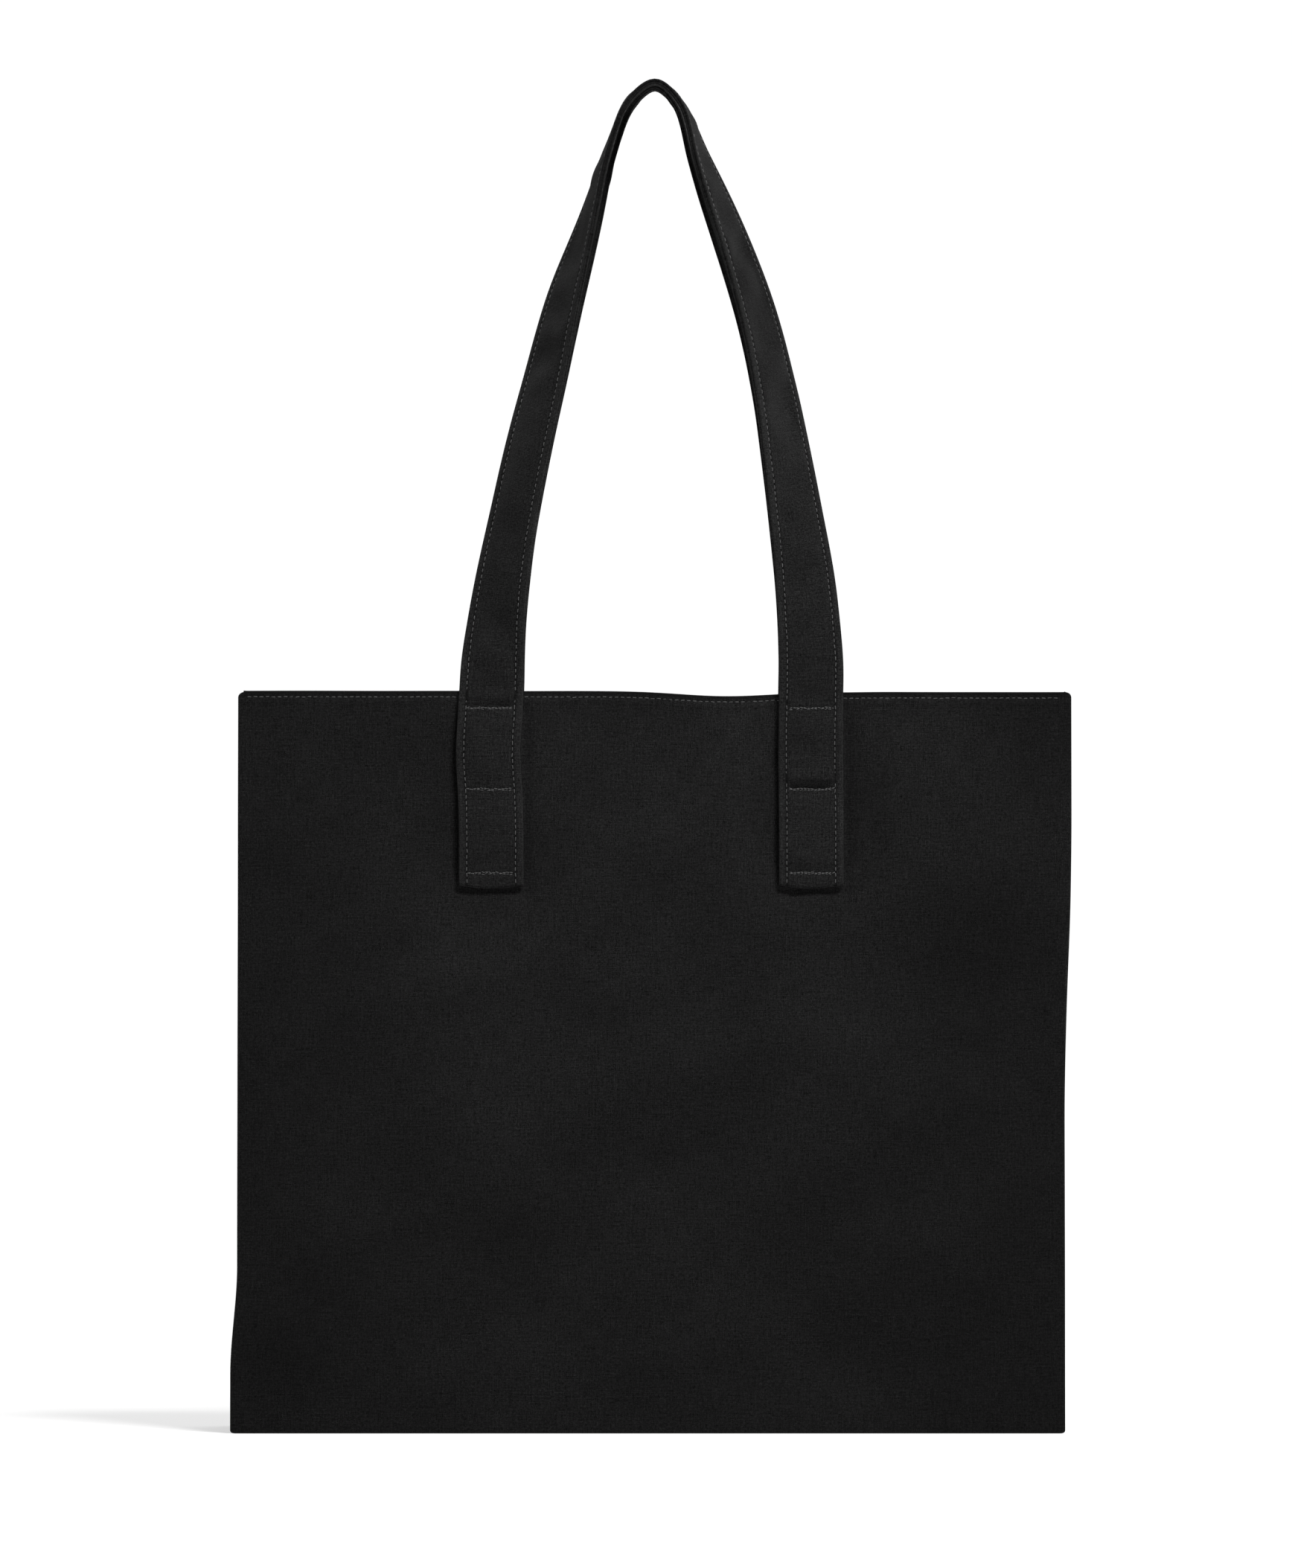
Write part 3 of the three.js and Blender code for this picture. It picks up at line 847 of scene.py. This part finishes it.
def make_base_cloth():
    """The flat bottom, with its edges turned up inside the walls and gussets."""
    run_x, run_y = np.meshgrid(*(edge_runs(half, BASE_RADIUS, BASE_TURN, 4 * MM)
                                 for half in (BASE_HALF_X, BASE_HALF_Y)))
    x, up_x = turned_edge(np.abs(run_x), BASE_HALF_X - BASE_RADIUS, BASE_RADIUS, BASE_TURN)
    y, up_y = turned_edge(np.abs(run_y), BASE_HALF_Y - BASE_RADIUS, BASE_RADIUS, BASE_TURN)
    place = joined(run_x, run_y)
    from_side = BASE_HALF_Y - np.abs(run_y)
    ripple = 0.35 * MM * (1 + noise_field(place, 55 * MM, BASE_SEED)) * smoothstep(0, 12 * MM, from_side)
    z = BASE_LOW.z + 0.02 * MM + ripple + np.maximum(up_x, up_y)
    surface = joined(x * np.sign(run_x), y * np.sign(run_y), z)
    normals = outward_normals(surface, np.array([0, 0, -1.0]))
    piece = cloth_piece("base_cloth", surface, normals, np.full(z.shape, CLOTH), place, BODY_CANVAS)
    finish_piece(piece, "base", "body_canvas", "base_panel")


def make_base_seams():
    """One row of stitches inside each edge of the base."""
    t = np.linspace(-1, 1, 120)
    long_run, short_run = t * (BASE_HALF_X - SEAM_SHORT), t * (BASE_HALF_Y - SEAM_SHORT)
    lines = {name: joined(long_run, direction * (BASE_HALF_Y - SEAM_INSET), BASE_SEAM_Z)
             for name, direction in WALLS.items()}
    lines.update({name: joined(direction * (BASE_HALF_X - SEAM_INSET), short_run, BASE_SEAM_Z)
                  for name, direction in SIDES.items()})
    for name, points in lines.items():
        up = np.broadcast_to([0, 0, 1.0], points.shape)
        row = stitch_row(f"base_{name}_seam_stitches", [(points, up)])
        finish_piece(row, "base", "thread", f"base_{name}_seam_stitching")


# ---------------------------------------------------------------- the handles

PRESSED_OUT = 1.85 * MM
LIFTED_FOLDS = {("left", "top"), ("right", "middle")}
LINE_STEP = 2 * MM
STITCH_SUNK = 0.34 * MM


def tail_lift(up):
    """How far the middle of a sewn tail stands off the wall: pressed at each tack, puffed between them
    and curling off at its loose end."""
    tacks = sorted(WALL_LENGTH - below for below in TACKS_BELOW.values())
    lift = np.full_like(up, PRESSED_OUT)
    for low, high in zip(tacks, tacks[1:]):
        share = np.clip((up - low) / (high - low), 0, 1)
        lift += 2.0 * MM * np.sin(math.pi * share) ** 0.8
    lift += 0.9 * MM * np.clip((tacks[0] - up) / (tacks[0] - TAIL_END), 0, 1) ** 1.5
    return lift


def arch_route(count):
    """The arch's line in X and Z: a centripetal Catmull-Rom curve through ARCH."""
    knots = np.array(ARCH, float) * MM
    knots = np.vstack([2 * knots[0] - knots[1], knots, 2 * knots[-1] - knots[-2]])
    points = []
    for p0, p1, p2, p3 in zip(knots, knots[1:], knots[2:], knots[3:]):
        d0, d1, d2 = (np.linalg.norm(b - a) ** 0.5 for a, b in ((p0, p1), (p1, p2), (p2, p3)))
        m1 = ((p1 - p0) / d0 - (p2 - p0) / (d0 + d1) + (p2 - p1) / d1) * d1
        m2 = ((p2 - p1) / d1 - (p3 - p1) / (d1 + d2) + (p3 - p2) / d2) * d1
        t = np.linspace(0, 1, count, endpoint=False)[:, None]
        points.append((2 * t**3 - 3 * t**2 + 1) * p1 + (t**3 - 2 * t**2 + t) * m1
                      + (3 * t**2 - 2 * t**3) * p2 + (t**3 - t**2) * m2)
    return np.vstack(points + [knots[-2][None]])


def smoothed(values, width):
    """values blurred over width samples, with its ends kept."""
    reach = round(3 * width)
    kernel = bell(np.arange(-reach, reach + 1), width)
    padded = np.pad(values, reach, mode="reflect", reflect_type="odd")
    return np.convolve(padded, kernel / kernel.sum(), "valid")


def resampled(points, spacing):
    """The points of a line taken again at an even spacing, and how far along it each lies."""
    length = run_length(points)
    s = np.linspace(0, length[-1], round(length[-1] / spacing) + 1)
    return between(s, length, points), s


class Handle:
    """The line of one handle from the end of its left tail, over the arch, to the end of its right tail.
    At each distance s it has a point of the line and the directions along the strap, out of its face and
    across it."""

    def __init__(self, side):
        self.side = side
        self.depth = WALLS[side]
        self.outer = -self.depth
        line, s = resampled(self.rough_line(), LINE_STEP)
        line[:, 1] = smoothed(line[:, 1], 2.5)
        along = unit(np.gradient(line, axis=0))
        face = self.turned_face(line, along)
        across = np.cross(along, face)
        free = smoothstep(BEND_Z, BEND_Z + 60 * MM, line[:, 2])
        wobble = noise_field(joined(s, 0.0), 45 * MM, WOBBLE_SEED + self.depth)
        sway = noise_field(joined(s, 0.0), 60 * MM, SWAY_SEED + self.depth)
        self.line = (line + face * (wobble * free * 0.55 * MM)[:, None]
                     + across * (sway * free * 0.5 * MM)[:, None])
        bulge = bell(line[:, 2] - BEND_Z + 24 * MM, 19 * MM)
        self.line[:, 0] -= bulge * np.where(line[:, 0] < 0, 1.5 * MM, 0.3 * MM)
        self.s, self.along, self.face, self.across = s, along, face, across
        self.total = s[-1]

    def rough_line(self):
        """The sewn tails' lines on the wall with the arch's line between them."""
        up = np.arange(TAIL_END, BEND_UP, LINE_STEP)
        tails = []
        for direction in SIDES.values():
            x = np.full_like(up, direction * TAIL_X)
            points = wall_place(self.depth, x, up, tail_lift(up) + wall_sag(self.depth, x, up))
            points[:, 0] = x
            tails.append(points)
        route = arch_route(30)
        tangent = unit(np.gradient(route, axis=0))
        outwards = joined(-tangent[:, 1], tangent[:, 0])
        if self.side == "back":
            inset = BACK_INSET - BACK_APEX_RISE * np.clip(outwards[:, 1], 0, 1)
            route = route - outwards * (inset * smoothstep(INSET_START, INSET_END, route[:, 1]))[:, None]
        foot_y = HALF_DEPTH - BEND_UP * math.sin(LEAN) + 2.3 * MM
        foot_z = ARCH[0][1] * MM
        apex_z = max(z for _, z in ARCH) * MM
        rise = (route[:, 1] - foot_z) / (apex_z - foot_z)
        y = self.depth * (foot_y + (APEX_Y - foot_y) * np.clip(rise, 0, 1))
        return np.vstack([tails[0], joined(route[:, 0], y, route[:, 1]), tails[1][::-1]])

    def turned_face(self, line, along):
        """The direction out of the strap's face, turned by TWIST."""
        apex = line[np.argmax(line[:, 2]), 0]
        turns = {leg: np.interp(line[:, 2] / MM, *np.array(table, float).T) for leg, table in TWIST.items()}
        turn = smoothed(np.radians(np.where(line[:, 0] < apex, turns[-1], turns[1])), 9)
        outwards = unit(joined(-along[:, 2], 0.0, along[:, 0]))
        face = outwards * np.sin(turn)[:, None]
        face[:, 1] -= np.cos(turn)
        return square_to(face, along)

    def at(self, s):
        return (between(s, self.s, vectors) for vectors in (self.line, self.along, self.face, self.across))

    def tacks(self):
        """Each tack's tail, name and place along the handle."""
        ups = {name: WALL_LENGTH - below - TAIL_END for name, below in TACKS_BELOW.items()}
        return ([("left", name, up) for name, up in ups.items()]
                + [("right", name, self.total - up) for name, up in ups.items()])


# A strap's section: its flat face, and the round of the folded edge on each side.
HALF_FACE = np.array([2, 4.5, 7, 9, 10.4, 11.0, 11.4, 11.7, 12.0, 12.4, 12.9, 13.6, 14.4]) * MM
FOLD_ANGLES = np.radians([62, 30, 0, -38])
FOLD_REACH, FOLD_HEIGHT, FOLD_MIDDLE = 0.72 * MM, 0.66 * MM, 0.62 * MM
FOLD_GROOVE = 0.5 * MM
STRAP_END_RADIUS, LEAST_END_SHARE = 1.5 * MM, 0.12
STRAP_ENDS = np.array([0, 0.1, 0.3, 0.6, 0.9, 1.2, 1.5]) * MM
BESIDE_TACK = np.array([-1.5, -0.45, 0.45, 1.5]) * MM


def strap_face(flat):
    """The height of a strap's face over its middle: grooves along the stitching, a soft crown between."""
    from_middle = np.abs(flat)
    groove = 0.24 * MM * bell(from_middle - ROW_OFFSET, 0.55 * MM)
    crown = 0.22 * MM * np.clip(1 - (flat / ROW_OFFSET) ** 2, 0, 1)
    rim = 0.1 * MM * smoothstep(12.2 * MM, 13 * MM, from_middle)
    rim = rim * (1 - smoothstep(13.8 * MM, 14.6 * MM, from_middle))
    return STRAP_THICKNESS / 2 - 0.1 * MM - groove + crown + rim


def strap_section():
    """The top of a strap's section and its right edge, as points across the strap and up."""
    flat = np.concatenate([-HALF_FACE[::-1], [0], HALF_FACE])
    half = STRAP_WIDTH / 2
    lobe = joined(half - FOLD_REACH + FOLD_REACH * np.cos(FOLD_ANGLES),
                  FOLD_MIDDLE + FOLD_HEIGHT * np.sin(FOLD_ANGLES))
    edge = np.vstack([lobe, [[half - FOLD_GROOVE, 0]], lobe[::-1] * [1, -1]])
    return joined(flat, strap_face(flat)), edge


def strap_relief(handle, s, a, top):
    """How much the outer face rises at each place: creases between the tacks, and the cloth pressed in
    at them. s is along the strap, a across it, and top is 1 on the section's top and -1 below."""
    from_tack = np.abs(s - [place for _, _, place in handle.tacks()]).min(axis=1)[:, None]
    creases = 2.6 * MM * noise_field(joined(a * 0.6, s), 15 * MM, STRAP_CREASE_SEED)
    creases = creases * smoothstep(1 * MM, 7 * MM, from_tack)
    outer = top * handle.outer > 0
    relief = creases * np.clip(1 - (a / (ROW_OFFSET - 0.6 * MM)) ** 4, 0, 1) * top * outer
    middle = np.clip(1 - (a / (ROW_OFFSET + 0.6 * MM)) ** 8, 0, 1)
    for hand, name, place in handle.tacks():
        gap = (s - place) * -SIDES[hand]
        press = 0.55 * MM * bell(gap, 1.3 * MM)
        if (hand, name) in LIFTED_FOLDS:
            press = press + 1.2 * MM * bell(gap - 1.9 * MM, 1.3 * MM)
            press = press - 1.8 * MM * bell(gap - 6 * MM, 2.8 * MM)
        relief = relief - top * press * middle * outer
    return relief


def strap_faces(rings, tops, edges):
    """The faces of a strap whose section has tops points above and below and edges points at each side."""
    count = 2 * (tops + edges)
    index = np.arange(rings * count).reshape(rings, count)
    faces = tube_faces(index)
    for ring, flip in ((index[0], False), (index[-1], True)):
        upper = ring[:tops]
        lower = ring[tops + edges:2 * tops + edges][::-1]
        cap = [[upper[i], upper[i + 1], lower[i + 1], lower[i]] for i in range(tops - 1)]
        cap.append([upper[-1], *ring[tops:tops + edges], lower[-1]])
        cap.append([lower[0], *ring[2 * tops + edges:], upper[0]])
        faces += [[int(v) for v in (f if flip else f[::-1])] for f in cap]
    return faces


def make_strap(handle):
    """The folded canvas of a whole handle as one swept piece, rounded off at its two ends."""
    top, edge = strap_section()
    section = np.vstack([top, edge, (top * [1, -1])[::-1], edge * [-1, -1]])
    a, b = section[None, :, 0], section[None, :, 1]
    beside_tacks = [place + offset for _, _, place in handle.tacks() for offset in BESIDE_TACK]
    even = np.arange(3 * MM, handle.total - 3 * MM, LINE_STEP)
    run = np.concatenate([STRAP_ENDS, merged(even, beside_tacks), (handle.total - STRAP_ENDS)[::-1]])
    line, along, face, across = handle.at(run)
    s = run[:, None]
    from_end = np.minimum(s, handle.total - s)
    height = b * np.maximum(rounded(from_end, STRAP_END_RADIUS), LEAST_END_SHARE)
    height = height + strap_relief(handle, s, a, np.sign(b))
    curl = 1.7 * MM * (a / (STRAP_WIDTH / 2)) ** 2 * (1 - smoothstep(0, 14 * MM, from_end))
    curl = curl * np.where(s < handle.total / 2, 1, -1)
    width = 1 + 0.008 * noise_field(joined(s, 3.0), 26 * MM, STRAP_WIDTH_SEED)
    points = (line[:, None] + across[:, None] * (a * width)[..., None]
              + face[:, None] * height[..., None] + along[:, None] * curl[..., None])
    faces = strap_faces(len(run), len(top), len(edge))
    wrap = np.abs(a) + np.where(np.abs(a) > 14.5 * MM, np.abs(np.abs(b) - b.max()), 0)
    uv = joined(np.sign(a) * wrap, s)
    side = handle.side
    piece = make_piece(f"{side}_strap", points.reshape(-1, 3), faces, uv.reshape(-1, 2), STRAP_CANVAS)
    finish_piece(piece, None, "strap_canvas", f"{side}_handle_loop",
                 f"{side}_handle_left_tail", f"{side}_handle_right_tail")
    blend_to_handle(piece)


def blend_to_handle(piece):
    """Bakes the piece's transform into its points."""
    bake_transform(piece)


def make_edge_rows(handle, row_name, sign):
    """The stitches along one edge of a handle: both faces of its loop, the outer face of its tails."""
    side = handle.side
    bend = BEND_UP - TAIL_END
    groove = STRAP_THICKNESS / 2 - STITCH_SUNK
    line, _, face, across = handle.at(np.linspace(bend, handle.total - bend, 500))
    line = line + across * sign * ROW_OFFSET
    lines = [(line + face * groove, face), (line - face * groove, -face)]
    row = stitch_row(f"{side}_loop_{row_name}_stitches", lines)
    finish_piece(row, None, "thread", f"{side}_loop_{row_name}_stitching")
    blend_to_handle(row)
    for hand in SIDES:
        s = np.linspace(2.2 * MM, bend, 120)
        if hand == "right":
            s = handle.total - s
        line, _, face, across = handle.at(s)
        out = face * handle.outer
        row = stitch_row(f"{side}_{hand}_tail_{row_name}_stitches",
                         [(line + across * sign * ROW_OFFSET + out * groove, out)])
        finish_piece(row, f"{side}_wall", "thread", f"{side}_{hand}_tail_{row_name}_stitching")


def make_tack(handle, hand, name, place):
    """Two wandering rows of short stitches side by side, sewn across a tail."""
    t = np.linspace(-TACK_LENGTH / 2, TACK_LENGTH / 2, 40)
    crown = strap_face(t) - 0.38 * MM
    bow = 0.5 * MM * (t / (TACK_LENGTH / 2)) ** 2 * math.sin(place * 900)
    lines = []
    for offset in (-0.25 * MM, 0.25 * MM):
        wander = 0.3 * MM * noise_field(joined(t, offset), 2.4 * MM, TACK_SEED + place * 100) - bow
        line, along, face, across = handle.at(np.full_like(t, place + offset))
        out = face * handle.outer
        lines.append((line + across * t[:, None] + along * wander[:, None] + out * crown[:, None], out))
    row = stitch_row(f"{handle.side}_{hand}_{name}_tack", lines,
                     pitch=1.7 * MM, length=1.6 * MM, lift=0.16 * MM, uneven=0.17 * MM)
    finish_piece(row, f"{handle.side}_wall", "thread", f"{handle.side}_{hand}_tail_{name}_tack")


make_camera()
make_studio()
HANDLES = {side: Handle(side) for side in WALLS}
BODY_CANVAS = canvas_material("black_canvas", BODY_SHADE, wall_painted_shading)
STRAP_CANVAS = canvas_material("folded_canvas", STRAP_SHADE, strap_painted_shading)
THREAD = thread_material()

for side, handle in HANDLES.items():
    make_wall_cloth(side)
    make_wall_hem(side)
    for hand in SIDES:
        make_side_seam(side, hand)
    make_strap(handle)
    for row_name, sign in (("outer", -1), ("inner", 1)):
        make_edge_rows(handle, row_name, sign)
    for tack in handle.tacks():
        make_tack(handle, *tack)
for side in SIDES:
    make_gusset_cloth(side)
    for wall in WALLS:
        make_gusset_hem(side, wall)
make_base_cloth()
make_base_seams()
